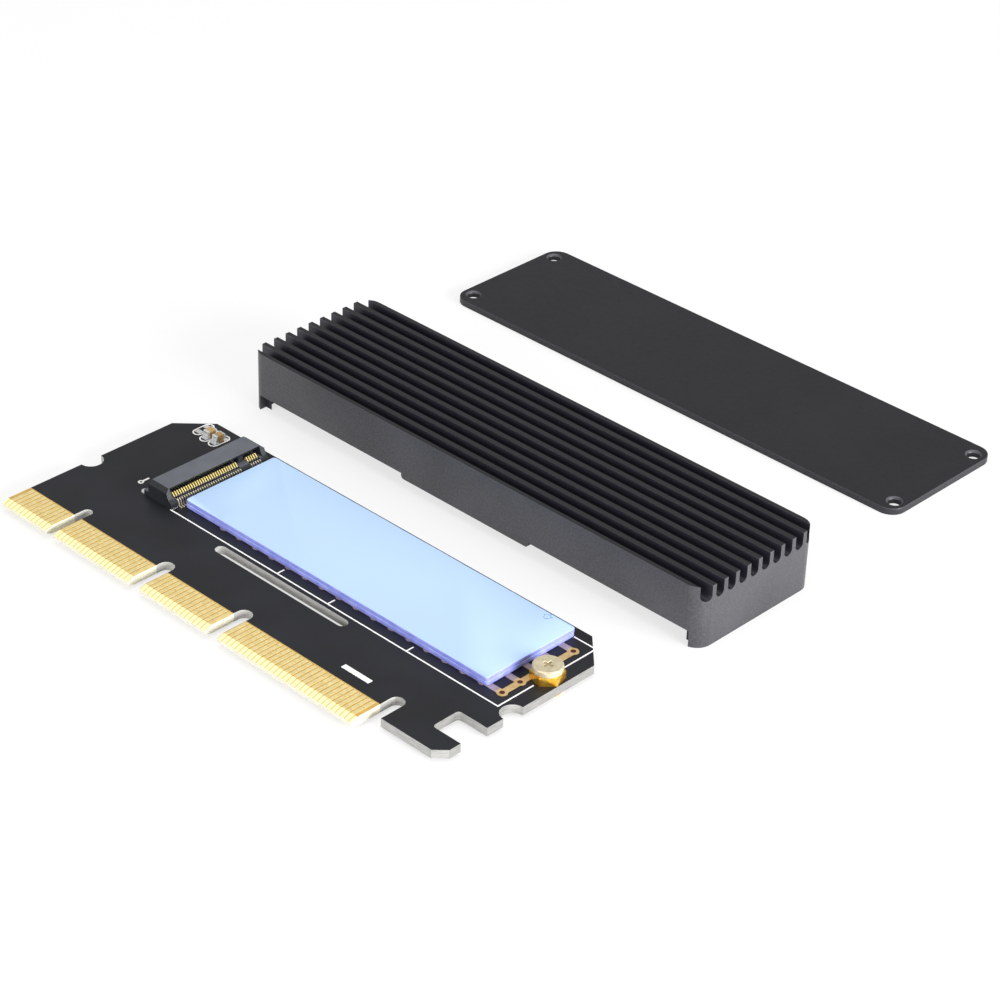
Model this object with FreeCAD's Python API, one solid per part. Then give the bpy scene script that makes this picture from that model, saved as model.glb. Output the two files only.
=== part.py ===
"""NVMe adapter card: a PCI Express x16 riser board with an M.2 socket, its finned heatsink
housing and its cover plate, laid out side by side on one surface. Millimetres, +Z up."""

import FreeCAD, Part
import math
import os

os.makedirs("parts", exist_ok=True)
Vec = FreeCAD.Vector

# ---------------------------------------------------------------- driving dimensions
# The card is drawn with X = 0 on the key notch, Y = 0 on the solder mask edge above the
# contacts and Z = 0 on the surface that everything lies on.

board_thick = 1.6
key_width = 1.9
key_end_y = 2.9
short_tongue = 11.65            # tongue left of the key notch
long_tongue = 71.65             # tongue right of the key notch
tongue_tip_y = -6.07
bevel_depth = 1.3
bevel_angle = 20.0
relief_width = 2.9              # two round-ended cut-outs between contact groups
relief_places = (21.5, 40.5)    # counted in contact pitches from the key
relief_end_y = 2.3
board_far = 36.83
far_chamfer = 5.6
tab_gap = 2.7                   # gap between the tongue and the retention tab
tab_gap_end_y = 3.55
tab_width = 12.78
tab_low_y = -2.45
tab_chamfer = 1.9
hook_slot_in = 6.7              # from the tab's left edge to the retention hook's slot
hook_slot_low_y = 1.85
hook_slot_high_y = 7.5
hook_slot_round = 0.7
edge_notch_y = 13.1             # half-round notches that pass the housing's bosses
edge_notch_r = 2.15
long_slot_x = 38.2              # middle of the slot that takes the housing's tab
long_slot_y = 10.75
long_slot_length = 31.0
long_slot_width = 2.0

contact_pitch = 1.0
contact_width = 0.7
contact_high_y = -0.25
contact_margin = 1.1            # from the tongue's ends to the first and last contact
plating = 0.05                  # contacts and copper stand this far off the board
ink_thick = 0.03
ink_width = 0.25

module_y = 23.63                # centre line of the plug-in module
module_x = 5.28                 # datum of the module outline
module_width = 22.0
module_length = 80.0
shorter_lengths = (30.0, 42.0, 60.0)
outline_hook = 1.4              # short return of the outline at the socket
outline_tick = 1.5
outline_overlap = 0.1
outline_gap = 0.25              # between the outline and the standoff's corners

socket_back_x = 3.1
socket_lip_x = 7.5
socket_front_x = 9.0
socket_width = 21.95
socket_height = 3.2
socket_back_chamfer = 0.2
socket_end_inset = 0.8          # chamfer that runs along both ends of the socket's top
socket_end_drop = 0.6
ledge_x = 2.0
ledge_height = 0.9
ledge_width = 1.3
jaw_height = 1.4
jaw_chamfer_x = 0.55
jaw_chamfer_z = 0.45
arm_foot = 0.15                 # where the arms' sloping fronts start, on the jaw
mouth_height = 1.15
lip_undercut = 0.4
slot_back_x = 4.0
slot_width = 20.1
key_post_width = 1.1
pin_spacing = 0.25
middle_pin = 38.0
last_pin = 75
key_pins = (59, 66)             # places that the key post takes
pin_blade = 0.2
pin_thick = 0.2
pin_gap = 0.05                  # between a contact and the plastic
channel_width = 0.3
channel_floor = 0.2
channel_roof = 0.3
lower_channel_in = 0.9          # from the slot's back to the lower channels
rear_channel_in = 0.4           # how far the upper contacts' risers are let into the back
upper_channel_length = 2.5
tail_length = 0.75
tail_thick = 0.15
post_in = 0.5                   # the lower contacts' front posts, behind the socket's front
post_width = 0.35
beam_drop = 0.4                 # the lower beams lie this far below the jaw's top
crest_in = 0.2                  # their crests, behind the lip and above the jaw
crest_rise = 0.6
upper_root_length = 1.4
nose_in = 1.2                   # the upper noses, behind the lip's lower edge
nose_drop = 0.7
anchor_length = 1.1
anchor_width = 1.2
anchor_thick = 0.2
anchor_chamfer = 0.35

standoff_across = 5.0
standoff_turn = -14.0
standoff_height = 1.5
standoff_chamfer_in = 0.35
standoff_chamfer = 0.25
standoff_shank_r = 1.8
standoff_foot_r = 2.7
standoff_foot_chamfer = 0.2
standoff_foot = 0.5             # flared foot under the board, which the card rests on
standoff_edge = 2.8             # from the standoff's middle to the board's right edge
standoff_bore_r = 1.0
thread_clearance = 0.05
screw_head_r = 2.5
screw_head = 1.1
screw_head_chamfer = 0.15
screw_length = 2.8
recess_length = 1.9
recess_width = 0.5
recess_depth = 0.5
recess_turn = 5.0

pad_start_gap = 1.0             # from the socket's front to the thermal pad
pad_end_gap = 4.65              # from the pad to the standoff's middle
pad_shift_y = 1.32              # the pad lies a little off the module's centre line
pad_width = 20.0
pad_layer = 0.8

via_pitch = 4.0
via_r = 0.42
via_ring_r = 0.95
copper_strip = 1.25
copper_end_gap = 1.98           # from the last column of vias to the standoff's middle
copper_columns = 17

capacitor_length = 2.0
capacitor_width = 1.25
capacitor_height = 1.4
capacitor_cap = 0.35
cap_stand_out = 0.02            # terminals stand this far off the ceramic
cap_chamfer = 0.15
capacitor_y = 33.2
capacitor_x = -2.4
capacitor_pitch = 2.25
empty_place_dx = -2.5           # the place without a capacitor, from the last one
empty_place_dy = 0.6
solder_pad_length = 1.0
solder_pad_margin = 0.1
solder_foot = 0.5
solder_waist = 0.3
solder_climb = 0.9
oval_length = 4.5
oval_width = 2.2

bar_left_x = 61.4               # plain white bar beside the long slot
bar_low_y = 2.35
bar_length = 6.05
bar_width = 1.0
pin_mark_x = -1.3
pin_mark_y = 14.7
pin_mark_ring = 1.1
pin_mark_hole = 0.5
pin_mark_stem = 0.4
pin_mark_stem_y = 16.5

fit_gap = 0.15
end_wall = 2.15
side_wall = 1.5
housing_height = 11.5
housing_ceiling = 7.4
housing_corner_r = 3.0
skirt_height = 3.0              # the near wall stops here, above the board
tab_drop = 1.0
tab_length = 29.9
tab_round = 0.6
rim_thick = 0.8
fin_thick = 0.9
groove_count = 10
groove_depth = 2.8
boss_r = 2.0
boss_foot = 2.0                 # bosses stop here, inside the board's edge notches
boss_hole_r = 0.8               # tapped M2
boss_hole_depth = 5.0
plate_thick = 1.25
plate_hole_r = 1.15
plate_sink_r = 1.5

housing_left = -10.35           # where the two casings lie beside the card
housing_near = 47.9
plate_left = -13.45
plate_near = 101.8

# ---------------------------------------------------------------- derived sizes
board_low = standoff_foot
board_top = board_low + board_thick
board_left = -(key_width / 2 + short_tongue)
tongue_right = key_width / 2 + long_tongue
tab_left = tongue_right + tab_gap
relief_x = [place * contact_pitch for place in relief_places]
standoff_x = module_x + module_length
board_right = max(tab_left + tab_width, standoff_x + standoff_edge)
pad_left_x = socket_front_x + pad_start_gap
pad_length = standoff_x - pad_end_gap - pad_left_x
pad_near_y = module_y + pad_shift_y - pad_width / 2
copper_column_x = standoff_x - copper_end_gap
housing_length = board_right - board_left + 2 * (end_wall + fit_gap)
housing_depth = board_far + fit_gap + side_wall - (long_slot_y - side_wall / 2)
groove_width = (housing_depth - 2 * rim_thick - (groove_count - 1) * fin_thick) / groove_count
boss_in_x = end_wall + fit_gap
boss_in_y = edge_notch_y - (long_slot_y - side_wall / 2)
row_left = min(board_left, housing_left, plate_left)
row_right = max(board_right, housing_left + housing_length, plate_left + housing_length)
origin = Vec(-(row_left + row_right) / 2, -(tongue_tip_y + plate_near + housing_depth) / 2, 0)


# ---------------------------------------------------------------- helpers
def box(x0, y0, z0, x1, y1, z1):
    return Part.makeBox(x1 - x0, y1 - y0, z1 - z0, Vec(x0, y0, z0))


def disc(x, y, z0, z1, r):
    return Part.makeCylinder(r, z1 - z0, Vec(x, y, z0))


def sheet(points, z0, z1):
    """A flat piece with a straight-sided outline."""
    outline = Part.makePolygon([Vec(x, y, z0) for x, y in points + points[:1]])
    return Part.Face(outline).extrude(Vec(0, 0, z1 - z0))


def section(points, y0, y1):
    """A cross-section drawn in X and Z, extruded along Y."""
    outline = Part.makePolygon([Vec(x, y0, z) for x, z in points + points[:1]])
    return Part.Face(outline).extrude(Vec(0, y1 - y0, 0))


def stadium(x, y, length, width, z0, z1):
    """A round-ended bar along X."""
    reach = (length - width) / 2
    bar = box(x - reach, y - width / 2, z0, x + reach, y + width / 2, z1)
    ends = [disc(x + side * reach, y, z0, z1, width / 2) for side in (-1, 1)]
    return bar.fuse(ends).removeSplitter()


def few_sided(x, y, length, width, z0, z1, sides):
    """A thin round or round-ended shape along X, as the flats of an etched or printed edge."""
    reach = (length - width) / 2
    turns = [2 * math.pi * (i + 0.5) / sides for i in range(sides)]
    return sheet([(x + math.copysign(reach, math.cos(a)) + width / 2 * math.cos(a),
                   y + width / 2 * math.sin(a)) for a in turns], z0, z1)


def open_slot(x, low_y, end_y, width, z0, z1):
    """A cut-out that starts below low_y and has a full round at end_y."""
    r = width / 2
    return box(x - r, low_y, z0, x + r, end_y - r, z1).fuse(disc(x, end_y - r, z0, z1, r))


def bent_strip(path, thick, y, width):
    """A strip of spring metal of even thickness, bent along a path in X and Z."""
    sides = []
    for side in (-1, 1):
        edge = []
        for i, (x, z) in enumerate(path):
            before = path[max(i - 1, 0)]
            after = path[min(i + 1, len(path) - 1)]
            turn_in = math.atan2(z - before[1], x - before[0])
            turn_out = math.atan2(after[1] - z, after[0] - x)
            if i == 0:
                turn_in = turn_out
            if i == len(path) - 1:
                turn_out = turn_in
            half = math.remainder(turn_out - turn_in, 2 * math.pi) / 2
            reach = side * thick / 2 / math.cos(half)
            normal = turn_in + half + math.pi / 2
            edge.append((x + reach * math.cos(normal), z + reach * math.sin(normal)))
        sides.append(edge)
    return section(sides[0] + sides[1][::-1], y - width / 2, y + width / 2)


def one(shapes):
    """Joins touching solids into one clean solid."""
    return shapes[0].fuse(shapes[1:]).removeSplitter()


def group(shapes):
    """Keeps repeated pieces as separate solids in one node."""
    return Part.makeCompound(shapes)


def pin_y(pin):
    return module_y + (pin - middle_pin) * pin_spacing


def pins(first):
    """Every second pin from first, less the ones that the key post takes."""
    return [n for n in range(first, last_pin + 1, 2) if not key_pins[0] <= n <= key_pins[1]]


# ---------------------------------------------------------------- the card
def via_places():
    """The vias that the module's pad leaves in view: the near row and the end column."""
    near_y = module_y - 2 * via_pitch
    places = [(copper_column_x - i * via_pitch, near_y) for i in range(copper_columns)]
    return places + [(copper_column_x, module_y + i * via_pitch) for i in (-1, 1, 2)]


def circuit_board():
    z0, z1 = board_low, board_top
    board = sheet([
        (board_left, tongue_tip_y),
        (tongue_right, tongue_tip_y),
        (tongue_right, tab_low_y),
        (board_right - tab_chamfer, tab_low_y),
        (board_right, tab_low_y + tab_chamfer),
        (board_right, board_far - far_chamfer),
        (board_right - far_chamfer, board_far),
        (board_left + far_chamfer, board_far),
        (board_left, board_far - far_chamfer),
    ], z0, z1)
    hook = box(tab_left + hook_slot_in, hook_slot_low_y, z0, board_right + 1,
               hook_slot_high_y, z1)
    inner_edges = [e for e in hook.Edges if e.BoundBox.ZLength > board_thick / 2
                   and e.BoundBox.XMax < board_right]
    cuts = [
        open_slot(0, tongue_tip_y - 1, key_end_y, key_width, z0, z1),
        open_slot(tab_left - tab_gap / 2, tongue_tip_y - 1, tab_gap_end_y, tab_gap, z0, z1),
        hook.makeFillet(hook_slot_round, inner_edges),
        stadium(long_slot_x, long_slot_y, long_slot_length, long_slot_width, z0, z1),
        disc(standoff_x, module_y, z0, z1, standoff_shank_r),
    ]
    cuts += [open_slot(x, tongue_tip_y - 1, relief_end_y, relief_width, z0, z1) for x in relief_x]
    cuts += [disc(x, edge_notch_y, z0, z1, edge_notch_r) for x in (board_left, board_right)]
    drop = bevel_depth * math.tan(math.radians(bevel_angle))
    for face_z, inward in ((z1, -1), (z0, 1)):
        wedge = Part.makePolygon([
            Vec(board_left - 1, tongue_tip_y - 1, face_z),
            Vec(board_left - 1, tongue_tip_y + bevel_depth, face_z),
            Vec(board_left - 1, tongue_tip_y, face_z + inward * drop),
            Vec(board_left - 1, tongue_tip_y - 1, face_z + inward * drop),
            Vec(board_left - 1, tongue_tip_y - 1, face_z),
        ])
        cuts.append(Part.Face(wedge).extrude(Vec(tongue_right - board_left + 2, 0, 0)))
    return board.cut(cuts).removeSplitter()


def edge_contacts(z0):
    """One face of the edge connector: every 1 mm position that no notch takes."""
    first = round((board_left + contact_margin) / contact_pitch - 0.5)
    last = round((tongue_right - contact_margin) / contact_pitch - 0.5)
    places = [(k + 0.5) * contact_pitch for k in range(first, last + 1)]
    notches = [(0, key_width)] + [(x, relief_width) for x in relief_x]
    kept = [x for x in places if all(abs(x - at) > width / 2 for at, width in notches)]
    low = tongue_tip_y + bevel_depth
    half = contact_width / 2
    return group([box(x - half, low, z0, x + half, contact_high_y, z0 + plating) for x in kept])


def copper_grid():
    """The bare copper under the module: strips that cross on a 4 mm pitch."""
    z0, z1 = board_top, board_top + plating
    left = copper_column_x - (copper_columns - 1) * via_pitch
    half = copper_strip / 2
    strips = [box(left, module_y + i * via_pitch - half, z0, copper_column_x,
                  module_y + i * via_pitch + half, z1) for i in range(-2, 3)]
    reach = 2 * via_pitch
    strips += [box(x - half, module_y - reach, z0, x + half, module_y + reach, z1)
               for x in (left, copper_column_x)]
    ring, hole = 2 * via_ring_r, 2 * via_r
    rings = [few_sided(x, y, ring, ring, z0, z1, 10) for x, y in via_places()]
    holes = [few_sided(x, y, hole, hole, z0, z1, 6) for x, y in via_places()]
    holes.append(hexagon(standoff_x, module_y, standoff_across, standoff_turn, z0, z1))
    return one(strips + rings).cut(holes).removeSplitter()


def thermal_pad(layer):
    z0 = board_top + plating + layer * pad_layer
    return box(pad_left_x, pad_near_y, z0, pad_left_x + pad_length, pad_near_y + pad_width,
               z0 + pad_layer)


# ---------------------------------------------------------------- the M.2 socket
def raised(points):
    """Points in X and Z, with Z counted from the board's top."""
    return [(x, board_top + z) for x, z in points]


def end_chamfer(side):
    """What the chamfer takes off one end of the socket's top."""
    y = module_y + side * socket_width / 2
    z = board_top + socket_height
    x = socket_back_x - 1
    wedge = Part.makePolygon([
        Vec(x, y, z - socket_end_drop), Vec(x, y, z), Vec(x, y - side * socket_end_inset, z),
        Vec(x, y, z - socket_end_drop),
    ])
    return Part.Face(wedge).extrude(Vec(socket_front_x - x, 0, 0))


def socket_housing():
    z = board_top
    low_y, high_y = module_y - socket_width / 2, module_y + socket_width / 2
    mouth_low = jaw_height
    mouth_high = mouth_low + mouth_height
    body = section(raised([
        (socket_back_x, 0), (socket_front_x, 0), (socket_front_x, mouth_low - jaw_chamfer_z),
        (socket_front_x - jaw_chamfer_x, mouth_low),
        (socket_front_x - jaw_chamfer_x - arm_foot, mouth_low + arm_foot),
        (socket_lip_x, socket_height), (socket_back_x + socket_back_chamfer, socket_height),
        (socket_back_x, socket_height - socket_back_chamfer),
    ]), low_y, high_y)
    slot = section(raised([
        (slot_back_x, mouth_low), (socket_front_x + 1, mouth_low),
        (socket_front_x + 1, socket_height + 1), (socket_lip_x, socket_height + 1),
        (socket_lip_x, socket_height), (socket_lip_x - lip_undercut, mouth_high),
        (slot_back_x, mouth_high),
    ]), module_y - slot_width / 2, module_y + slot_width / 2)
    ledges = [box(ledge_x, y, z, socket_back_x, y + ledge_width, z + ledge_height)
              for y in (low_y, high_y - ledge_width)]
    post_y = pin_y(sum(key_pins) / 2)
    post = box(slot_back_x, post_y - key_post_width / 2, z + mouth_low,
               socket_lip_x - lip_undercut, post_y + key_post_width / 2, z + mouth_high)
    shell = one([body.cut([slot, end_chamfer(-1), end_chamfer(1)]), post] + ledges)
    floor = z + channel_floor
    roof = z + socket_height - channel_roof
    riser_x = socket_back_x + rear_channel_in
    channels = []
    for n in pins(1):
        low, high = pin_y(n) - channel_width / 2, pin_y(n) + channel_width / 2
        channels.append(box(slot_back_x + lower_channel_in, low, floor, socket_front_x, high,
                            z + mouth_low))
        channels.append(box(socket_front_x - jaw_chamfer_x, low, z, socket_front_x, high, floor))
    for n in pins(2):
        low, high = pin_y(n) - channel_width / 2, pin_y(n) + channel_width / 2
        channels.append(box(socket_back_x, low, z, riser_x, high, roof))
        channels.append(box(riser_x, low, z + mouth_high - pin_gap,
                            socket_back_x + upper_channel_length, high, roof))
    return shell.cut(channels).removeSplitter()


def socket_lower_contact(n):
    """A blanked contact: tail, front post, floor strand, and a beam that hooks up to a crest."""
    front, t = socket_front_x, pin_thick
    post = front - post_in
    post_top = jaw_height - 2 * pin_gap
    root = slot_back_x + lower_channel_in + pin_gap
    low = channel_floor + pin_gap
    beam = jaw_height - beam_drop
    crest_x, crest = socket_lip_x - crest_in, jaw_height + crest_rise
    y = pin_y(n)
    return section(raised([
        (front + tail_length, 0), (front, 0), (front - low, low), (root, low), (root, beam),
        (crest_x - 3 * t, beam), (crest_x - t, crest - t / 2), (crest_x, crest),
        (crest_x + 3 * t, crest - 3 * t), (crest_x + 2.5 * t, crest - 3.5 * t),
        (crest_x, crest - 1.5 * t), (crest_x - 2 * t, beam - t), (root + t, low + t),
        (post, low + t), (post, post_top), (post + post_width, post_top - post_width / 2),
        (front + tail_thick, tail_thick), (front + tail_length, tail_thick),
    ]), y - pin_blade / 2, y + pin_blade / 2)


def socket_upper_contact(n):
    """A blanked contact: rear tail, riser, root under the lip, and a nose facing the mouth."""
    t = pin_thick
    inner, outer = socket_back_x + t / 2, socket_back_x + 1.5 * t
    tail = ledge_x + pin_thick
    ceiling = jaw_height + mouth_height
    nose_x, nose = socket_lip_x - lip_undercut - nose_in, ceiling - nose_drop
    y = pin_y(n)
    return section(raised([
        (tail, 0), (outer, 0), (outer, ceiling + t / 2),
        (socket_back_x + upper_root_length, ceiling + t / 2), (nose_x - 2.5 * t, nose + t / 2),
        (nose_x - t, nose), (nose_x, nose + t / 2), (nose_x, nose + 2.5 * t),
        (socket_back_x + upper_root_length, ceiling + 1.5 * t), (inner, ceiling + 1.5 * t),
        (inner, tail_thick), (tail, tail_thick),
    ]), y - pin_blade / 2, y + pin_blade / 2)


def socket_anchor(side):
    """The solder tab at each end of the socket's back."""
    y = module_y + side * (socket_width - anchor_width) / 2
    foot = box(ledge_x - anchor_length, y - anchor_width / 2, board_top, ledge_x,
               y + anchor_width / 2, board_top + anchor_thick)
    front = [e for e in foot.Edges if e.BoundBox.XMax < ledge_x - anchor_length / 2
             and e.BoundBox.ZLength > anchor_thick / 2]
    return foot.makeChamfer(anchor_chamfer, front)


# ---------------------------------------------------------------- standoff and screw
def hexagon(x, y, across, turn, z0, z1):
    r = across / math.sqrt(3)
    corners = [math.radians(turn + 60 * i) for i in range(6)]
    return sheet([(x + r * math.cos(a), y + r * math.sin(a)) for a in corners], z0, z1)


def standoff():
    x, y = standoff_x, module_y
    top = board_top + standoff_height
    corner_r = standoff_across / math.sqrt(3)
    head = hexagon(x, y, standoff_across, standoff_turn, board_top, top)
    shoulder = top - standoff_chamfer
    turned = one([
        disc(x, y, board_top, shoulder, corner_r + 0.01),
        Part.makeCone(corner_r + 0.01, corner_r - standoff_chamfer_in, standoff_chamfer,
                      Vec(x, y, shoulder)),
    ])
    shank = disc(x, y, board_low, board_top, standoff_shank_r)
    foot = Part.makeCone(standoff_foot_r - standoff_foot_chamfer, standoff_foot_r,
                         standoff_foot, Vec(x, y, 0))
    return one([head.common(turned), shank, foot]).cut(disc(x, y, 0, top, standoff_bore_r))


def module_screw():
    x, y = standoff_x, module_y
    seat = board_top + standoff_height
    head = disc(x, y, seat, seat + screw_head, screw_head_r)
    rim = [e for e in head.Edges if e.BoundBox.ZMin > seat + screw_head / 2
           and e.BoundBox.ZLength < 0.01]
    head = head.makeChamfer(screw_head_chamfer, rim)
    shank = disc(x, y, seat - screw_length, seat, standoff_bore_r - thread_clearance)
    top = seat + screw_head
    arm = box(-recess_length / 2, -recess_width / 2, top - recess_depth, recess_length / 2,
              recess_width / 2, top)
    recess = []
    for turn in (recess_turn, recess_turn + 90):
        wing = arm.copy()
        wing.rotate(Vec(0, 0, 0), Vec(0, 0, 1), turn)
        wing.translate(Vec(x, y, 0))
        recess.append(wing)
    return one([head, shank]).cut(recess).removeSplitter()


# ---------------------------------------------------------------- small parts and ink
def capacitor_places():
    return [(capacitor_x - i * capacitor_pitch, capacitor_y) for i in range(2)]


def capacitor_body(x, y):
    half = capacitor_width / 2
    reach = capacitor_length / 2 - capacitor_cap
    z = board_top + plating
    return box(x - half, y - reach, z, x + half, y + reach, z + capacitor_height)


def capacitor_terminal(x, y, side):
    half = capacitor_width / 2 + cap_stand_out
    near = capacitor_length / 2 - capacitor_cap
    ends = sorted((y + side * near, y + side * capacitor_length / 2))
    z = board_top + plating
    cap = box(x - half, ends[0], z, x + half, ends[1], z + capacitor_height + cap_stand_out)
    end = y + side * capacitor_length / 2
    outer = [e for e in cap.Edges if abs(e.BoundBox.YMin - end) < 0.01
             and e.BoundBox.YLength < 0.01 and e.BoundBox.ZMin > z + capacitor_height / 2]
    return cap.makeChamfer(cap_chamfer, outer)


def solder_pad(x, y):
    half = capacitor_width / 2 + solder_pad_margin
    reach = solder_pad_length / 2
    return box(x - half, y - reach, board_top, x + half, y + reach, board_top + plating)


def solder_fillet(x, y, side):
    """Solder that climbs the end of a terminal."""
    end = y + side * capacitor_length / 2
    half = capacitor_width / 2
    z = board_top + plating
    wedge = Part.makePolygon([
        Vec(x - half, end, z), Vec(x - half, end + side * solder_foot, z),
        Vec(x - half, end + side * solder_waist, z + solder_waist),
        Vec(x - half, end, z + solder_climb), Vec(x - half, end, z),
    ])
    return Part.Face(wedge).extrude(Vec(2 * half, 0, 0))


def oval_places():
    """The capacitors' places, and one that carries no capacitor."""
    x, y = capacitor_places()[-1]
    return capacitor_places() + [(x + empty_place_dx, y + empty_place_dy)]


def pad_rows():
    return [(x, y + side * capacitor_length / 2) for x, y in oval_places() for side in (-1, 1)]


def line(x0, y0, x1, y1):
    """A straight ink line along X or Y."""
    half = ink_width / 2
    return box(min(x0, x1) - half, min(y0, y1) - half, board_top, max(x0, x1) + half,
               max(y0, y1) + half, board_top + ink_thick)


def module_outline():
    near, far = module_y - module_width / 2, module_y + module_width / 2
    start = socket_front_x - outline_overlap
    lines = [
        line(start, near, standoff_x, near),
        line(start, near, start, near + outline_hook),
        line(standoff_x, near, standoff_x, far),
        line(pad_left_x + pad_length + outline_overlap, far, standoff_x, far),
    ]
    lines += [line(module_x + length, near, module_x + length, near + outline_tick)
              for length in shorter_lengths]
    clear_of = [
        disc(standoff_x, module_y, board_top, board_top + ink_thick,
             standoff_across / math.sqrt(3) + outline_gap),
        box(ledge_x, module_y - socket_width / 2, board_top, socket_front_x,
            module_y + socket_width / 2, board_top + ink_thick),
    ]
    return one(lines).cut(clear_of)


def ink_marks():
    """A plain bar, a pin 1 mark, and the oval round each capacitor place."""
    z0, z1 = board_top, board_top + ink_thick
    bar = box(bar_left_x, bar_low_y, z0, bar_left_x + bar_length, bar_low_y + bar_width, z1)
    half = pin_mark_stem / 2
    ring = few_sided(pin_mark_x, pin_mark_y, pin_mark_ring, pin_mark_ring, z0, z1, 12)
    stem = box(pin_mark_x - half, pin_mark_y + half, z0, pin_mark_x + half, pin_mark_stem_y, z1)
    pin_mark = one([ring, stem]).cut(
        few_sided(pin_mark_x, pin_mark_y, pin_mark_hole, pin_mark_hole, z0, z1, 8))
    pads = group([solder_pad(*place) for place in pad_rows()])
    ovals = []
    for x, y in oval_places():
        outer = few_sided(0, 0, oval_length, oval_width, z0, z1, 12)
        inner = few_sided(0, 0, oval_length - 2 * ink_width, oval_width - 2 * ink_width, z0, z1,
                          12)
        oval = outer.cut(inner)
        oval.rotate(Vec(0, 0, 0), Vec(0, 0, 1), 90)
        oval.translate(Vec(x, y, 0))
        ovals.append(oval.cut(pads))
    return group([bar, pin_mark] + ovals)


# ---------------------------------------------------------------- the casings
def rounded_block(x, y, z0, z1):
    block = box(x, y, z0, x + housing_length, y + housing_depth, z1)
    corners = [e for e in block.Edges if e.BoundBox.ZLength > (z1 - z0) / 2]
    return block.makeFillet(housing_corner_r, corners)


def corner_places(x, y):
    return [(x + dx, y + dy) for dx in (boss_in_x, housing_length - boss_in_x)
            for dy in (boss_in_y, housing_depth - boss_in_y)]


def heatsink_housing():
    x0, y0 = housing_left, housing_near
    x1, y1 = x0 + housing_length, y0 + housing_depth
    block = rounded_block(x0, y0, 0, housing_height)
    r = groove_width / 2
    cuts = []
    for i in range(groove_count):
        y = y0 + rim_thick + i * (fin_thick + groove_width) + r
        floor = housing_height - groove_depth + r
        cuts.append(box(x0 - 1, y - r, floor, x1 + 1, y + r, housing_height + 1))
        cuts.append(Part.makeCylinder(r, housing_length + 2, Vec(x0 - 1, y, floor), Vec(1, 0, 0)))
    bosses = [disc(x, y, boss_foot, housing_ceiling, boss_r) for x, y in corner_places(x0, y0)]
    cavity = box(x0 + end_wall, y0 + side_wall, 0, x1 - end_wall, y1 - side_wall, housing_ceiling)
    corners = [e for e in cavity.Edges if e.BoundBox.ZLength > housing_ceiling / 2]
    cuts.append(cavity.makeFillet(housing_corner_r - side_wall, corners).cut(bosses))
    skirt = box(x0 + end_wall, y0 - 1, 0, x1 - end_wall, y0 + side_wall, skirt_height)
    tab_x = x0 + (long_slot_x - board_left) + boss_in_x
    tab = box(tab_x - tab_length / 2, y0 - 1, skirt_height - tab_drop, tab_x + tab_length / 2,
              y0 + side_wall, skirt_height)
    low_edges = [e for e in tab.Edges if e.BoundBox.YLength > side_wall / 2
                 and e.BoundBox.ZMax < skirt_height - tab_drop / 2]
    cuts.append(skirt.cut(tab.makeFillet(tab_round, low_edges)))
    cuts += [disc(x, y, boss_foot, boss_foot + boss_hole_depth, boss_hole_r)
             for x, y in corner_places(x0, y0)]
    return block.cut(cuts).removeSplitter()


def cover_plate():
    plate = rounded_block(plate_left, plate_near, 0, plate_thick)
    sink = plate_sink_r - plate_hole_r
    cuts = []
    for x, y in corner_places(plate_left, plate_near):
        cuts.append(disc(x, y, 0, plate_thick, plate_hole_r))
        cuts.append(Part.makeCone(plate_hole_r, plate_sink_r, sink, Vec(x, y, plate_thick - sink)))
    return plate.cut(cuts)


# ---------------------------------------------------------------- the pieces
pieces = {
    "circuit_board": circuit_board(),
    "edge_contacts_top": edge_contacts(board_top),
    "edge_contacts_bottom": edge_contacts(board_low - plating),
    "copper_grid": copper_grid(),
    "socket_housing": socket_housing(),
    "socket_lower_contacts": group([socket_lower_contact(n) for n in pins(1)]),
    "socket_upper_contacts": group([socket_upper_contact(n) for n in pins(2)]),
    "socket_anchors": group([socket_anchor(side) for side in (-1, 1)]),
    "thermal_pad_lower": thermal_pad(0),
    "thermal_pad_upper": thermal_pad(1),
    "standoff": standoff(),
    "module_screw": module_screw(),
    "capacitor_bodies": group([capacitor_body(*place) for place in capacitor_places()]),
    "capacitor_terminals": group([capacitor_terminal(x, y, side) for x, y in capacitor_places()
                                  for side in (-1, 1)]),
    "capacitor_solder": group([solder_fillet(x, y, side) for x, y in capacitor_places()
                               for side in (-1, 1)]),
    "solder_pads": group([solder_pad(*place) for place in pad_rows()]),
    "ink_module_outline": module_outline(),
    "ink_marks": ink_marks(),
    "heatsink_housing": heatsink_housing(),
    "cover_plate": cover_plate(),
}
for name, shape in pieces.items():
    shape.translate(origin)
    shape.exportStep(f"parts/{name}.step")
    print(name, len(shape.Solids), round(shape.Volume, 2), shape.isValid())
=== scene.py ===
"""The looks of the NVMe adapter card and its two casings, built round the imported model. Metres."""

import math
import random

import bmesh
import bpy
from mathutils import Matrix, Vector


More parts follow.
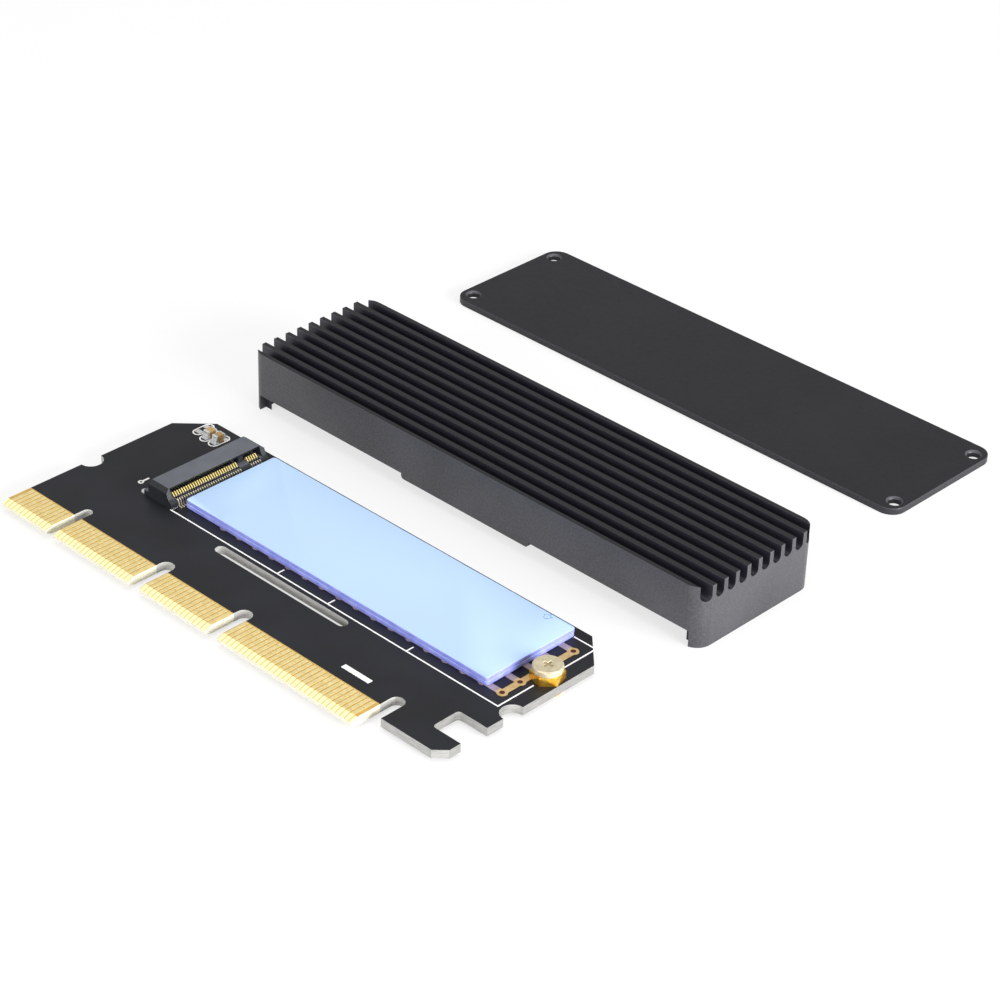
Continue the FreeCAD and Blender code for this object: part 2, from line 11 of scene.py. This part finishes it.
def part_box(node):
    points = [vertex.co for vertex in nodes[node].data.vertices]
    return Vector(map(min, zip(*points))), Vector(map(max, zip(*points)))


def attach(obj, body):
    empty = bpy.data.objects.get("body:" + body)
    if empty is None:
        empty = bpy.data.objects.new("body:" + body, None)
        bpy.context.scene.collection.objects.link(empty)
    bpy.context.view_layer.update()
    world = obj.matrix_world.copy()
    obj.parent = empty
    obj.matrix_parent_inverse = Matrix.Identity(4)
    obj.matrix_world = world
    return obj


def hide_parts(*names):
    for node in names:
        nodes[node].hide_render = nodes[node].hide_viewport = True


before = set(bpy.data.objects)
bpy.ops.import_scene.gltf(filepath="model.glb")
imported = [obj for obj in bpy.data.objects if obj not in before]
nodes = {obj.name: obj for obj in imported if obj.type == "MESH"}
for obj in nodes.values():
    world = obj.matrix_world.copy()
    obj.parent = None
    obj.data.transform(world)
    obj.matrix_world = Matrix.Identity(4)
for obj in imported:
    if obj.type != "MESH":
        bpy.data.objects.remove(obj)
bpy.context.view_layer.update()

MM = 0.001
MICRON = 0.001 * MM

# ---------------------------------------------------------------- datum and camera
# The card's datum: X on the key notch's middle, Y on the edge of the solder mask, Z on the
# board's top. The two lengths lead to it from the board's left end and the tongue's tip.
TONGUE_LEFT = -12.6 * MM
TONGUE_TIP = -6.07 * MM
board_low, board_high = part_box("circuit_board")
DATUM = Vector((board_low.x - TONGUE_LEFT, board_low.y - TONGUE_TIP, board_high.z))

# The camera, fitted to the contacts' pitch and the module's outline and placed from the datum.
CAMERA_PLACE = Vector((337.34, -256.78, 269.02)) * MM
CAMERA_AZIMUTH = math.radians(44.468)
CAMERA_ELEVATION = math.radians(32.756)
CAMERA_ROLL = math.radians(1.289)
SENSOR_WIDTH_MM = 36.0
LENS_MM = 107.82
SHIFT = (0.05637, 0.02964)
NEAR_CLIP = 10 * MM


def place_camera():
    """The camera of the reference view."""
    azimuth, elevation, roll = CAMERA_AZIMUTH, CAMERA_ELEVATION, CAMERA_ROLL
    back = Vector((math.sin(azimuth) * math.cos(elevation),
                   -math.cos(azimuth) * math.cos(elevation), math.sin(elevation)))
    level = Vector((math.cos(azimuth), math.sin(azimuth), 0))
    upright = back.cross(level)
    right = level * math.cos(roll) + upright * math.sin(roll)
    up = upright * math.cos(roll) - level * math.sin(roll)
    data = bpy.data.cameras.new("camera")
    data.sensor_width = SENSOR_WIDTH_MM
    data.lens = LENS_MM
    data.shift_x, data.shift_y = SHIFT
    data.clip_start = NEAR_CLIP
    camera = bpy.data.objects.new("camera", data)
    turn = Matrix((right, up, back)).transposed().to_4x4()
    camera.matrix_world = Matrix.Translation(DATUM + CAMERA_PLACE) @ turn
    bpy.context.scene.collection.objects.link(camera)
    bpy.context.scene.camera = camera


# ---------------------------------------------------------------- material helpers
# Noise keeps near its middle, so colours and polish are spread over this part of it.
NOISE_LOW = 0.3
NOISE_HIGH = 0.7
NOISE_ROUGHNESS = 0.55


def linear(code):
    """A colour written as six hex digits, in linear light."""
    parts = [int(code[i:i + 2], 16) / 255 for i in (0, 2, 4)]
    return tuple(c / 12.92 if c <= 0.04045 else ((c + 0.055) / 1.055) ** 2.4 for c in parts) + (1,)


class Nodes:
    """A few short calls for wiring a procedural material."""

    def __init__(self, name):
        self.material = bpy.data.materials.new(name)
        self.material.use_nodes = True
        self.tree = self.material.node_tree
        self.tree.nodes.clear()
        self.out = self.tree.nodes.new("ShaderNodeOutputMaterial")
        self.coords = self.tree.nodes.new("ShaderNodeTexCoord").outputs["Object"]

    def add(self, kind, **settings):
        """A new node with its properties set."""
        node = self.tree.nodes.new(kind)
        for key, value in settings.items():
            setattr(node, key, value)
        return node

    def link(self, a, b):
        """Joins an output to an input."""
        self.tree.links.new(a, b)

    def feed(self, socket, value):
        """Links a node's output to a socket, or writes a plain value into it."""
        if isinstance(value, bpy.types.NodeSocket):
            self.link(value, socket)
        else:
            socket.default_value = value

    def math(self, operation, a, b=0.0):
        """A sum or a comparison, which gives one for true."""
        node = self.add("ShaderNodeMath", operation=operation)
        self.feed(node.inputs[0], a)
        self.feed(node.inputs[1], b)
        return node.outputs[0]

    def noise(self, scale, detail, coords=None):
        """Noise with so many grains to a metre, from the object's own coordinates by default."""
        node = self.add("ShaderNodeTexNoise")
        node.inputs["Scale"].default_value = scale
        node.inputs["Detail"].default_value = detail
        node.inputs["Roughness"].default_value = NOISE_ROUGHNESS
        self.link(self.coords if coords is None else coords, node.inputs["Vector"])
        return node.outputs["Fac"]

    def stretched(self, scale):
        """The object's coordinates, scaled along each axis."""
        mapping = self.add("ShaderNodeMapping")
        mapping.inputs["Scale"].default_value = scale
        self.link(self.coords, mapping.inputs["Vector"])
        return mapping.outputs["Vector"]

    def span(self, value, low, high, to_low=0.0, to_high=1.0):
        """Maps one range to another and holds its ends."""
        node = self.add("ShaderNodeMapRange", clamp=True)
        for socket, number in zip(node.inputs, (value, low, high, to_low, to_high)):
            self.feed(socket, number)
        return node.outputs[0]

    def mix(self, factor, a, b):
        """The first colour at factor zero, the second at one."""
        node = self.add("ShaderNodeMix", data_type="RGBA")
        self.feed(node.inputs["Factor"], factor)
        self.feed(node.inputs["A"], a)
        self.feed(node.inputs["B"], b)
        return node.outputs["Result"]

    def uneven(self, scale, detail, to_low=0.0, to_high=1.0):
        """Noise whose middle is spread over a whole range."""
        return self.span(self.noise(scale, detail), NOISE_LOW, NOISE_HIGH, to_low, to_high)

    def blend(self, tone, dark, light):
        """A tone between two colours written as hex digits."""
        return self.mix(tone, linear(dark), linear(light))

    def grain(self, scale, depth, strength, detail=2):
        """A fine bump made from noise."""
        node = self.add("ShaderNodeBump")
        node.inputs["Strength"].default_value = strength
        node.inputs["Distance"].default_value = depth
        self.link(self.noise(scale, detail), node.inputs["Height"])
        return node.outputs["Normal"]

    def both(self, first, second):
        """One where both masks are one."""
        return self.math("MULTIPLY", first, second)

    def axis(self, letter):
        """The place along an axis."""
        node = self.add("ShaderNodeSeparateXYZ")
        self.link(self.coords, node.inputs[0])
        return node.outputs[letter]

    def facing(self, letter):
        """The surface normal's part along an axis."""
        node = self.add("ShaderNodeSeparateXYZ")
        self.link(self.add("ShaderNodeNewGeometry").outputs["Normal"], node.inputs[0])
        return node.outputs[letter]

    def surface(self, **sockets):
        """The material with its principled shader's sockets filled in."""
        shader = self.add("ShaderNodeBsdfPrincipled")
        for name, value in sockets.items():
            self.feed(shader.inputs[name.replace("_", " ")], value)
        self.link(shader.outputs[0], self.out.inputs["Surface"])
        return self.material


# ---------------------------------------------------------------- black aluminium
# The grooves' painted shade starts this far inside the side walls and below the fins' tops.
GROOVE_SHADE_RIM = 0.5 * MM
GROOVE_SHADE_TOP = 0.15 * MM


def anodised(n, dark, light):
    """Black anodised aluminium's colour: a fine speckle over slow changes of tone."""
    slow = n.span(n.noise(60, 4), 0.35, 0.65)
    speckle = n.uneven(2600, 2)
    tone = n.math("ADD", n.math("MULTIPLY", slow, 0.35), n.math("MULTIPLY", speckle, 0.65))
    return n.blend(tone, dark, light)


def anodised_surface(n, colour, rough):
    """The black casings' dull, slightly metallic surface."""
    return n.surface(Base_Color=colour, Metallic=0.35, Roughness=n.uneven(700, 3, *rough),
                     Normal=n.grain(9000, depth=10 * MICRON, strength=0.5))


def housing_metal():
    """Painted shade: darker on the fins' tops and inside the grooves than on the outer walls."""
    n = Nodes("housing_black")
    low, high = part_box("heatsink_housing")
    walls = anodised(n, "38383b", "525256")
    groove_shade_zone = n.math("GREATER_THAN", n.axis("Y"), low.y + GROOVE_SHADE_RIM)
    groove_shade_zone = n.both(groove_shade_zone, n.math("LESS_THAN", n.axis("Y"), high.y - GROOVE_SHADE_RIM))
    groove_shade_zone = n.both(groove_shade_zone, n.math("LESS_THAN", n.axis("Z"), high.z - GROOVE_SHADE_TOP))
    lengthwise = n.math("LESS_THAN", n.math("ABSOLUTE", n.facing("X")), 0.5)
    tops = n.math("GREATER_THAN", n.facing("Z"), 0.8)
    # Painted shade on the fins' tops.
    colour = n.mix(tops, walls, linear("1f1f23"))
    # Painted shade on the lengthwise faces inside the grooves.
    colour = n.mix(n.both(groove_shade_zone, lengthwise), colour, linear("303039"))
    return anodised_surface(n, colour, rough=(0.36, 0.44))


def cover_metal():
    """Paler where the cutter has turned the sinks and broken the edges, partly bare cut metal and
    partly a painted highlight; the upright sides carry painted light.
    """
    n = Nodes("cover_black")
    up = n.facing("Z")
    slant = n.both(n.math("GREATER_THAN", up, 0.2), n.math("LESS_THAN", up, 0.95))
    upright = n.math("LESS_THAN", n.math("ABSOLUTE", up), 0.2)
    # Painted light on the upright sides.
    colour = n.mix(upright, anodised(n, "17171b", "24242a"), linear("2f2f33"))
    # Bare cut metal and a painted highlight on the sinks and broken edges.
    colour = n.mix(slant, colour, linear("525257"))
    return anodised_surface(n, colour, rough=(0.36, 0.46))


# ---------------------------------------------------------------- the card's materials
CONTACT_PITCH = 1.0 * MM
# The copper grid's holed rings: their pitch, outer radius and the radii of hole and stain.
VIA_PITCH = 4.0 * MM
VIA_RING = 0.95 * MM
VIA_HOLE = 0.42 * MM
VIA_STAIN = 0.46 * MM
# How far back from the socket contacts' front ends the gold starts.
CONTACT_FRONT = 1.6 * MM


def within(n, node):
    """One inside a node's box in plan, zero elsewhere."""
    low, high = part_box(node)
    inside = 1.0
    for letter, start, end in (("X", low.x, high.x), ("Y", low.y, high.y)):
        inside = n.both(inside, n.math("GREATER_THAN", n.axis(letter), start))
        inside = n.both(inside, n.math("LESS_THAN", n.axis(letter), end))
    return inside


def off_step(n, letter, start, pitch):
    """How far a place is from the nearest step along an axis, in steps."""
    steps = n.math("DIVIDE", n.math("SUBTRACT", n.axis(letter), start), pitch)
    return n.math("SUBTRACT", steps, n.math("ROUND", steps))


def via_spots(n, radius):
    """One within a radius of each hole of the copper grid, zero elsewhere."""
    low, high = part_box("copper_grid")
    squares = []
    for letter, start in (("X", high.x - VIA_RING), ("Y", low.y + VIA_RING)):
        off = off_step(n, letter, start, VIA_PITCH)
        squares.append(n.math("MULTIPLY", off, off))
    near = n.math("LESS_THAN", n.math("ADD", *squares), (radius / VIA_PITCH) ** 2)
    return n.both(near, within(n, "copper_grid"))


def metal(name, dark, light, rough, scale=900, metallic=1.0):
    """Bright metal whose tone and polish vary a little."""
    n = Nodes(name)
    return n.surface(Base_Color=n.blend(n.uneven(scale, 4), dark, light), Metallic=metallic,
                     Roughness=n.uneven(scale * 2, 3, *rough),
                     Normal=n.grain(scale * 2, depth=3 * MICRON, strength=0.25))


def grid_metal():
    """Plated copper: gold along the end column of vias, a pinker silver on the strips."""
    n = Nodes("plated_copper")
    column = n.math("GREATER_THAN", n.axis("X"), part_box("copper_grid")[1].x - 2 * VIA_RING)
    tone = n.uneven(900, 4)
    gold = n.blend(tone, "c9a468", "e0c48c")
    strip = n.blend(tone, "9c8a8a", "bcaca8")
    colour = n.mix(via_spots(n, VIA_STAIN), n.mix(column, strip, gold), linear("6b3a1a"))
    return n.surface(Base_Color=colour, Metallic=0.55, Roughness=n.uneven(1800, 3, 0.3, 0.45),
                     Normal=n.grain(1800, depth=3 * MICRON, strength=0.25))


def ceramic():
    """The capacitors' smooth tan ceramic."""
    n = Nodes("capacitor_ceramic")
    return n.surface(Base_Color=n.blend(n.uneven(250, 4), "93774c", "bd9f6c"),
                     Roughness=n.uneven(1500, 3, 0.16, 0.28),
                     Normal=n.grain(6000, depth=8 * MICRON, strength=0.5))


def board_material():
    """Solder mask on the faces, bare laminate between the contacts and along the cut edges."""
    n = Nodes("board")
    level = n.math("ABSOLUTE", n.facing("Z"))
    flat = n.math("GREATER_THAN", level, 0.98)
    tongue = n.math("LESS_THAN", n.axis("X"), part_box("edge_contacts_top")[1].x + CONTACT_PITCH)
    below = n.both(tongue, n.math("LESS_THAN", n.axis("Y"), DATUM.y))

    # The two faces: mask, with painted shade round the copper beside the pad, and bare laminate
    # between the contacts.
    mask = n.blend(n.uneven(120, 4), "17181b", "1e1f24")
    # Painted shade on the mask round the copper grid, beside the pad.
    mask = n.mix(within(n, "copper_grid"), mask, linear("0c0d14"))
    bare = n.blend(n.uneven(500, 3), "b48f46", "c6a255")
    face = n.mix(below, mask, bare)
    face = n.mix(via_spots(n, VIA_HOLE), face, linear("4a2614"))

    # The cut edges: woven glass, cream round the tongue, with painted light on the tongue's narrow
    # slot walls and painted shade on the faces that don't face -Y, darkest on the end face.
    weave = n.span(n.noise(1, 2, n.stretched((400, 400, 9000))), 0.35, 0.65)
    # Painted light on the tongue's cut walls, in its narrow slots.
    lit_tongue_cuts = n.blend(weave, "9a9a98", "b4b3af")
    cream = n.blend(weave, "cbc7b2", "dedac8")
    front = n.blend(weave, "8b8b8a", "aaa9a6")
    # Painted shade on the end face and the other faces turned away from -Y.
    end = n.blend(weave, "70706f", "8a8986")
    outer = n.mix(n.span(n.facing("Y"), -0.9, 0.0, 1.0, 0.0), end, front)
    cut = n.mix(below, n.mix(tongue, outer, lit_tongue_cuts), cream)

    # The tongue's bevels: pale gold opposite each contact, a darker line in each gap.
    opposite = n.span(n.math("ABSOLUTE", off_step(n, "X", DATUM.x, CONTACT_PITCH)), 0.1, 0.2)
    bevel = n.blend(opposite, "cdbb7c", "efe3ac")
    slanted = n.both(below, n.math("GREATER_THAN", level, 0.1))

    masked = n.both(flat, n.math("SUBTRACT", 1.0, below))
    return n.surface(Base_Color=n.mix(flat, n.mix(slanted, cut, bevel), face),
                     Roughness=n.span(masked, 0.0, 1.0, 0.75, 0.4),
                     Specular_IOR_Level=n.span(masked, 0.0, 1.0, 0.5, 0.3),
                     Normal=n.grain(5000, depth=6 * MICRON, strength=0.6, detail=3))


def socket_plastic():
    """Black moulding with painted light on top, where it shows grey, and painted shade down its
    sides.
    """
    n = Nodes("socket_plastic")
    tone = n.uneven(250, 4)
    # Painted light on the top faces and painted shade down the sides.
    top = n.blend(tone, "53565d", "5f626a")
    side = n.blend(tone, "191b1f", "222428")
    up = n.span(n.facing("Z"), 0.85, 0.97)
    return n.surface(Base_Color=n.mix(up, side, top), Roughness=n.uneven(1500, 3, 0.38, 0.48),
                     Normal=n.grain(5000, depth=6 * MICRON, strength=0.4))


def ink_material():
    """White screen print."""
    n = Nodes("ink")
    return n.surface(Base_Color=n.blend(n.uneven(3000, 3), "e6e6e4", "f6f6f4"),
                     Roughness=n.uneven(2000, 2, 0.45, 0.6),
                     Normal=n.grain(7000, depth=6 * MICRON, strength=0.5))


def contact_metal():
    """Gold at the crests, paler tin on the posts and tails in front of them."""
    n = Nodes("contact_metal")
    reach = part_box("socket_lower_contacts")[1].x
    front = n.math("GREATER_THAN", n.axis("X"), reach - CONTACT_FRONT)
    tone = n.uneven(3000, 3)
    gold = n.blend(tone, "ecd077", "fff0ae")
    tin = n.blend(tone, "b9ae92", "ddd5c0")
    return n.surface(Base_Color=n.mix(front, gold, tin), Metallic=0.5,
                     Roughness=n.uneven(5000, 2, 0.2, 0.32))


def set_materials():
    """Gives every rigid node its one material."""
    gold = metal("gold_contacts", "e2cc86", "f3e2a8", (0.25, 0.4), metallic=0.45)
    tin = metal("tin", "d6d6d4", "f0f0ee", (0.2, 0.35), scale=2500, metallic=0.6)
    ink = ink_material()
    upper = metal("contact_gold", "c8a83e", "e8ce78", (0.2, 0.32), scale=3000)
    brass = metal("brass", "d8982a", "f6c850", (0.18, 0.28), metallic=0.88)
    nickel = metal("nickel", "c2b696", "dacfb2", (0.28, 0.4), metallic=0.45)
    solder = metal("solder", "d6d8da", "f4f5f6", (0.1, 0.25), scale=2500, metallic=0.8)
    finishes = {
        "circuit_board": board_material(),
        "edge_contacts_top": gold,
        "edge_contacts_bottom": gold,
        "copper_grid": grid_metal(),
        "socket_housing": socket_plastic(),
        "socket_lower_contacts": contact_metal(),
        "socket_upper_contacts": upper,
        "socket_anchors": tin,
        "standoff": brass,
        "module_screw": nickel,
        "capacitor_bodies": ceramic(),
        "capacitor_terminals": tin,
        "capacitor_solder": solder,
        "solder_pads": tin,
        "ink_module_outline": ink,
        "ink_marks": ink,
        "heatsink_housing": housing_metal(),
        "cover_plate": cover_metal(),
    }
    for name, material in finishes.items():
        nodes[name].data.materials.clear()
        nodes[name].data.materials.append(material)


# ---------------------------------------------------------------- edges of the rigid pieces
WELD_GAP = 2 * MICRON
FLAT_WITHIN = math.radians(0.5)
SHARP_FROM = math.radians(35)
# The width of the broken edge on each piece that has one.
EDGE_BREAKS = {
    "heatsink_housing": 0.12 * MM,
    "cover_plate": 0.12 * MM,
    "standoff": 0.06 * MM,
    "module_screw": 0.06 * MM,
}


def soften(name, width):
    """Joins the model's split corners and triangles and breaks its sharp edges by a hair."""
    piece = nodes[name]
    weld = piece.modifiers.new("weld", "WELD")
    weld.merge_threshold = WELD_GAP
    whole = piece.modifiers.new("whole flat faces", "DECIMATE")
    whole.decimate_type = "DISSOLVE"
    whole.angle_limit = FLAT_WITHIN
    bevel = piece.modifiers.new("bevel", "BEVEL")
    bevel.width = width
    bevel.segments = 2
    bevel.limit_method = "ANGLE"
    bevel.angle_limit = SHARP_FROM
    smooth = piece.modifiers.new("flat faces stay flat", "WEIGHTED_NORMAL")
    smooth.weight = 100


# ---------------------------------------------------------------- the thermal pad
# The film's painted light fades out over this length from its socket end, and its painted shade over
# three from its screw end.
FILM_SHADE_FADE = 8.0 * MM
# The ring of painted shade where the film has puckered: how far in from the far corner, its radius
# and its line.
PUCKER_IN = (5.2 * MM, 1.1 * MM)
PUCKER_R = 0.6 * MM
PUCKER_WIDTH = 0.17 * MM
PAD_CORNER = 0.5 * MM
PAD_EDGE = 0.12 * MM
PAD_WAVER = 0.05 * MM
# An edge is rounded by one ring at this share of its width, a corner by this many steps.
EDGE_SHARE = 0.3
CORNER_STEPS = 8
OUTLINE_STEP = 1.2 * MM
# The waver's turns along X and Y, in radians a metre.
WAVER_TURNS = (420, 310)
SMOOTH_TO = math.radians(50)


def pucker(n, corner):
    """The crooked ring of painted shade where the film has puckered, near the pad's far corner."""
    squares = []
    for letter, centre, scale in (("X", corner.x - PUCKER_IN[0], 900),
                                  ("Y", corner.y - PUCKER_IN[1], 1800)):
        wander = n.uneven(scale, 1, -PUCKER_R / 2, PUCKER_R / 2)
        off = n.math("ADD", n.math("SUBTRACT", n.axis(letter), centre), wander)
        squares.append(n.math("MULTIPLY", off, off))
    away = n.math("SQRT", n.math("ADD", *squares))
    gap = n.math("ABSOLUTE", n.math("SUBTRACT", away, PUCKER_R))
    return n.span(gap, 0, PUCKER_WIDTH, 0.8, 0)


def pad_material(name, side, low, high):
    """Silicone with a pale blue film on top and violet cut sides; the film carries painted light and
    shade.
    """
    n = Nodes(name)
    up = n.math("GREATER_THAN", n.facing("Z"), 0.6)
    # Painted light and shade across the film, lighter towards its far side.
    film = n.blend(n.span(n.axis("Y"), low.y, high.y), "abc3f6", "b7d1f9")
    # Painted light at the socket end and painted shade at the screw end.
    lit_socket_end = n.span(n.axis("X"), low.x, low.x + FILM_SHADE_FADE, 1, 0)
    film = n.mix(lit_socket_end, film, linear("bcd8f8"))
    shaded_screw_end = n.span(n.axis("X"), high.x - 3 * FILM_SHADE_FADE, high.x, 0, 0.7)
    film = n.mix(shaded_screw_end, film, linear("a4bcf5"))
    film = n.mix(n.uneven(40, 3, 0.0, 0.2), film, linear("b6d4fb"))
    # Painted shade along the puckered crease.
    film = n.mix(pucker(n, high), film, linear("4a76cc"))
    edge = n.blend(n.uneven(600, 3), side, "969be4")
    return n.surface(Base_Color=n.mix(up, edge, film), Roughness=n.span(up, 0, 1, 0.6, 0.5),
                     Specular_IOR_Level=0.35,
                     Normal=n.grain(900, depth=10 * MICRON, strength=0.4, detail=3))


def slab_outline(low, high):
    """Points round a slab's plan: its corners as arcs, its sides in short steps."""
    bends = []
    centres = (
        (high.x - PAD_CORNER, high.y - PAD_CORNER),
        (low.x + PAD_CORNER, high.y - PAD_CORNER),
        (low.x + PAD_CORNER, low.y + PAD_CORNER),
        (high.x - PAD_CORNER, low.y + PAD_CORNER),
    )
    for quarter, (cx, cy) in enumerate(centres):
        for i in range(CORNER_STEPS + 1):
            a = (quarter + i / CORNER_STEPS) * math.pi / 2
            bends.append((cx + PAD_CORNER * math.cos(a), cy + PAD_CORNER * math.sin(a)))
    points = []
    for i, (x0, y0) in enumerate(bends):
        x1, y1 = bends[(i + 1) % len(bends)]
        parts = max(1, int(math.hypot(x1 - x0, y1 - y0) / OUTLINE_STEP))
        for k in range(parts):
            points.append((x0 + (x1 - x0) * k / parts, y0 + (y1 - y0) * k / parts))
    return points


def slab(name, low, high, seed):
    """A soft slab with rounded corners and edges that aren't quite straight."""
    rng = random.Random(seed)
    phase_x = rng.uniform(0, 2 * math.pi)
    phase_y = rng.uniform(0, 2 * math.pi)
    points = slab_outline(low, high)
    mid = (low + high) / 2
    half = (high - low) / 2
    part = PAD_EDGE * EDGE_SHARE
    levels = (
        (low.z, PAD_EDGE),
        (low.z + part, part),
        (low.z + PAD_EDGE, 0.0),
        (high.z - PAD_EDGE, 0.0),
        (high.z - part, part),
        (high.z, PAD_EDGE),
    )
    mesh = bmesh.new()
    rings = []
    for z, inset in levels:
        ring = []
        for x, y in points:
            turn = math.sin(x * WAVER_TURNS[0] + phase_x) * math.sin(y * WAVER_TURNS[1] + phase_y)
            inward = inset - PAD_WAVER * (turn - 1) / 2
            sx = 1 - inward / half.x
            sy = 1 - inward / half.y
            ring.append(mesh.verts.new((mid.x + (x - mid.x) * sx, mid.y + (y - mid.y) * sy, z)))
        rings.append(ring)
    count = len(points)
    for a, b in zip(rings, rings[1:]):
        for i in range(count):
            j = (i + 1) % count
            mesh.faces.new((a[i], a[j], b[j], b[i]))
    mesh.faces.new(rings[0][::-1])
    mesh.faces.new(rings[-1])
    data = bpy.data.meshes.new(name)
    mesh.to_mesh(data)
    mesh.free()
    for polygon in data.polygons:
        polygon.use_smooth = True
    data.set_sharp_from_angle(angle=SMOOTH_TO)
    piece = bpy.data.objects.new(name, data)
    bpy.context.scene.collection.objects.link(piece)
    return piece


def thermal_pad():
    """The two soft layers, each in place of its plain solid."""
    for node, side, seed in (("thermal_pad_lower", "777ccd", 3),
                             ("thermal_pad_upper", "7f86d9", 5)):
        low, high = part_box(node)
        piece = slab(node + "_soft", low, high, seed)
        piece.data.materials.append(pad_material(node + "_silicone", side, low, high))
        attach(piece, "root")
        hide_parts(node)


# ---------------------------------------------------------------- stage and light
WHITE = (1, 1, 1, 1)
FLOOR_GREY = (0.86, 0.86, 0.86, 1)
FLOOR_SIZE = 60
# The floor lies a hair under the lowest faces, so that they don't flicker in it.
FLOOR_Z = -20 * MICRON
# The share of plain white in what the camera sees of the floor; the rest keeps the shadow.
FLOOR_WHITE = 0.7
SKY_STRENGTH = 0.45


def floor_material():
    """Pale grey, whiter to the camera alone."""
    n = Nodes("floor")
    ground = n.add("ShaderNodeBsdfDiffuse")
    ground.inputs["Color"].default_value = FLOOR_GREY
    glow = n.add("ShaderNodeEmission")
    glow.inputs["Color"].default_value = WHITE
    glow.inputs["Strength"].default_value = 1.0
    seen = n.add("ShaderNodeLightPath").outputs["Is Camera Ray"]
    mix = n.add("ShaderNodeMixShader")
    n.link(n.math("MULTIPLY", seen, FLOOR_WHITE), mix.inputs[0])
    n.link(ground.outputs[0], mix.inputs[1])
    n.link(glow.outputs[0], mix.inputs[2])
    n.link(mix.outputs[0], n.out.inputs["Surface"])
    return n.material


def stage():
    """The floor and the even white world."""
    bpy.ops.mesh.primitive_plane_add(size=FLOOR_SIZE, location=(0, 0, FLOOR_Z))
    floor = bpy.context.object
    floor.name = "floor"
    floor.data.materials.append(floor_material())

    world = bpy.data.worlds.new("studio")
    world.use_nodes = True
    tree = world.node_tree
    tree.nodes.clear()
    out = tree.nodes.new("ShaderNodeOutputWorld")
    sky = tree.nodes.new("ShaderNodeBackground")
    sky.inputs["Color"].default_value = WHITE
    sky.inputs["Strength"].default_value = SKY_STRENGTH
    tree.links.new(sky.outputs[0], out.inputs["Surface"])
    bpy.context.scene.world = world


def softbox(name, place, size, power):
    """A rectangular lamp that looks at the origin, with its power in watts."""
    data = bpy.data.lights.new(name, "AREA")
    data.shape = "RECTANGLE"
    data.size, data.size_y = size
    data.energy = power
    lamp = bpy.data.objects.new(name, data)
    lamp.location = place
    lamp.rotation_euler = Vector(place).to_track_quat("Z", "Y").to_euler()
    bpy.context.scene.collection.objects.link(lamp)


def light():
    """Three soft lamps: the key low on the right, a weaker one in front and one overhead."""
    softbox("key_right", place=(0.85, 0.05, 0.22), size=(0.6, 0.35), power=14.0)
    softbox("front", place=(-0.05, -0.85, 0.28), size=(0.7, 0.35), power=5.0)
    softbox("top", place=(0.0, 0.1, 0.9), size=(0.8, 0.8), power=3.4)


# ---------------------------------------------------------------- build
place_camera()
stage()
light()
set_materials()
thermal_pad()
for name, width in EDGE_BREAKS.items():
    soften(name, width)
bpy.context.scene.view_settings.view_transform = "Standard"
